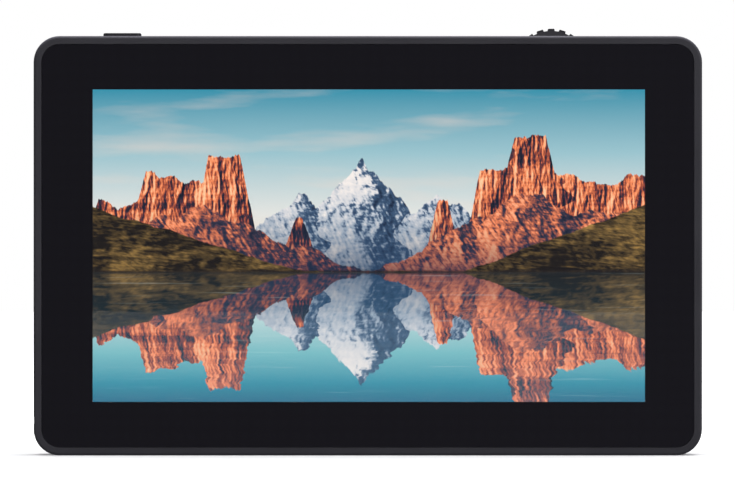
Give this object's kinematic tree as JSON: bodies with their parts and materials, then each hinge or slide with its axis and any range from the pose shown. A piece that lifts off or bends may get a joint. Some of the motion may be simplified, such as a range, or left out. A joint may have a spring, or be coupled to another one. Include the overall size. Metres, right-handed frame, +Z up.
{
  "type": "camera field monitor",
  "caption": "Slim camera-top field monitor with full-glass front, power button and toothed toggle on top, side sockets, vents and a battery plate behind.",
  "frame": {"origin": "mouth of the tripod thread, in the middle of the underside", "axes": "+X to the right of the person watching the screen, +Y out of the back, +Z up; the screen faces -Y"},
  "size_m": [0.161, 0.0325, 0.103],
  "materials": {
    "shell_plastic": "fine satin moulded ABS",
    "plate_plastic": "fine satin moulded nylon",
    "key_plastic": "smooth moulded ABS",
    "toggle_plastic": "satin moulded ABS",
    "cover_glass": "polished, printed black behind the border",
    "border_ink": "screen-printed ink and tape",
    "touch_glass": "thin coated glass",
    "foam": "closed-cell foam",
    "cell_glass": "satin polariser",
    "tray_steel": "stamped sheet",
    "optic_film": "matte film",
    "guide_acrylic": "clear acrylic",
    "led_package": "moulded light packages",
    "chassis_aluminium": "stamped sheet",
    "screw_steel": "nickel plated",
    "screw_black": "black oxide",
    "flex_film": "polyimide film",
    "board_laminate": "solder mask over glass laminate",
    "chip_epoxy": "moulded epoxy",
    "thermal_silicone": "soft silicone pad",
    "sink_aluminium": "extruded, plain",
    "coil_ferrite": "pressed ferrite powder",
    "cap_aluminium": "drawn cans",
    "connector_nylon": "natural nylon",
    "socket_steel": "tin plated sheet",
    "tongue_plastic": "moulded polymer",
    "jack_plastic": "moulded polymer",
    "pin_brass": "turned and plated",
    "switch_plastic": "moulded polymer",
    "carrier_acetal": "moulded acetal",
    "insert_brass": "turned, plain",
    "contact_gold": "gold plated",
    "block_plastic": "moulded polymer",
    "latch_plastic": "satin moulded acetal",
    "spring_steel": "drawn wire"
  },
  "bodies": {
    "housing": {"front_frame": "shell_plastic", "cover_glass": "cover_glass", "border_film": "border_ink", "touch_sensor": "touch_glass", "lcd_gasket": "foam", "lcd_cell": "cell_glass", "backlight_frame": "tray_steel", "diffuser_sheet": "optic_film", "light_guide": "guide_acrylic", "reflector_sheet": "optic_film", "led_strip": "led_package", "chassis_plate": "chassis_aluminium", "chassis_screws": "screw_steel", "lcd_flex": "flex_film", "touch_flex": "flex_film", "main_board": "board_laminate", "board_screws": "screw_steel", "video_chip": "chip_epoxy", "thermal_pad": "thermal_silicone", "heat_sink": "sink_aluminium", "power_inductors": "coil_ferrite", "capacitors": "cap_aluminium", "board_connectors": "connector_nylon", "hdmi_in_socket": "socket_steel", "hdmi_out_socket": "socket_steel", "usb_port": "socket_steel", "port_tongues": "tongue_plastic", "dc_in_jack": "jack_plastic", "dc_out_jack": "jack_plastic", "dc_pins": "pin_brass", "earphone_jack": "jack_plastic", "power_switch": "switch_plastic", "toggle_switch_body": "switch_plastic", "rear_cover": "shell_plastic", "cover_screws": "screw_black", "tripod_insert": "insert_brass", "battery_plate": "plate_plastic", "plate_screws": "screw_steel", "contact_block": "block_plastic", "battery_contacts": "contact_gold", "latch_spring": "spring_steel"},
    "power_button": {"power_button": "key_plastic"},
    "toggle_carrier": {"toggle_carrier": "carrier_acetal", "toggle_pin": "screw_steel"},
    "toggle_knob": {"toggle_knob": "toggle_plastic"},
    "battery_latch": {"battery_latch": "latch_plastic"}
  },
  "joints": [
    {"name": "power_press", "type": "slide", "parent": "housing", "child": "power_button", "axis": [0, 0, -1], "range_m": [0, 0.0004], "stiffness_N_per_m": 1500, "springref_m": -0.0004},
    {"name": "toggle_press", "type": "slide", "parent": "housing", "child": "toggle_carrier", "axis": [0, 0, -1], "range_m": [0, 0.0005], "stiffness_N_per_m": 2000, "springref_m": -0.0005},
    {"name": "toggle_rock", "type": "hinge", "parent": "toggle_carrier", "child": "toggle_knob", "pos_m": [0.0444, 0.0004, 0.09365], "axis": [0, 1, 0], "range_deg": [-12, 12], "stiffness_Nm_per_rad": 0.05},
    {"name": "latch_press", "type": "slide", "parent": "housing", "child": "battery_latch", "axis": [0, -1, 0], "range_m": [0, 0.002], "stiffness_N_per_m": 600, "springref_m": -0.001, "deforming": ["latch_spring"]}
  ]
}
